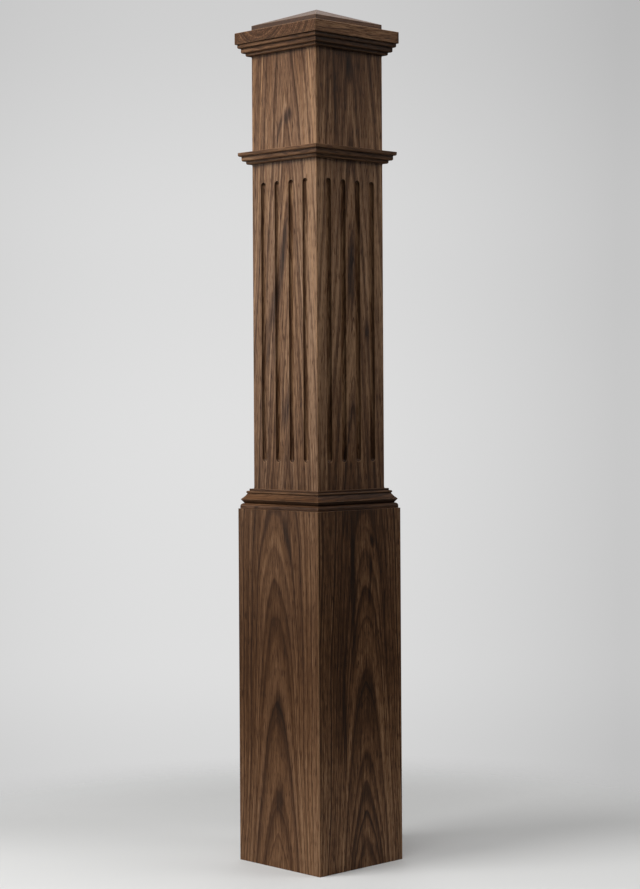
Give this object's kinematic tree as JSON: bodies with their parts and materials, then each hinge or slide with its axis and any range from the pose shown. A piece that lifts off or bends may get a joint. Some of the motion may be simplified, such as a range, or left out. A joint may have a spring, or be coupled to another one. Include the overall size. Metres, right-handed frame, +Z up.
{
  "type": "box newel post",
  "caption": "Hollow square box newel post: plain wrapped base, moulded base cap, fluted shaft, stepped neck and cap mouldings, and a square cap with a low pyramid top.",
  "frame": {"origin": "on the floor at the centre of the foot", "axes": "+Z up along the post, X and Y square to its faces, -Y the front face and +X the right face"},
  "size_m": [0.193, 0.193, 1.4079],
  "materials": {
    "shaft_walnut": "satin clear-finished walnut, grain upright",
    "base_walnut": "satin clear-finished walnut, grain upright",
    "moulding_walnut": "satin clear-finished walnut, grain along each length",
    "cap_board_walnut": "satin clear-finished walnut, grain level",
    "cap_block_walnut": "satin clear-finished walnut, smooth sloping top"
  },
  "bodies": {
    "root": {"shaft_board_front": "shaft_walnut", "shaft_board_right": "shaft_walnut", "shaft_board_back": "shaft_walnut", "shaft_board_left": "shaft_walnut", "base_board_front": "base_walnut", "base_board_right": "base_walnut", "base_board_back": "base_walnut", "base_board_left": "base_walnut", "base_cap_front": "moulding_walnut", "base_cap_right": "moulding_walnut", "base_cap_back": "moulding_walnut", "base_cap_left": "moulding_walnut", "neck_moulding_front": "moulding_walnut", "neck_moulding_right": "moulding_walnut", "neck_moulding_back": "moulding_walnut", "neck_moulding_left": "moulding_walnut", "cap_moulding_front": "moulding_walnut", "cap_moulding_right": "moulding_walnut", "cap_moulding_back": "moulding_walnut", "cap_moulding_left": "moulding_walnut", "cap_board": "cap_board_walnut", "cap_block": "cap_block_walnut"}
  },
  "joints": []
}
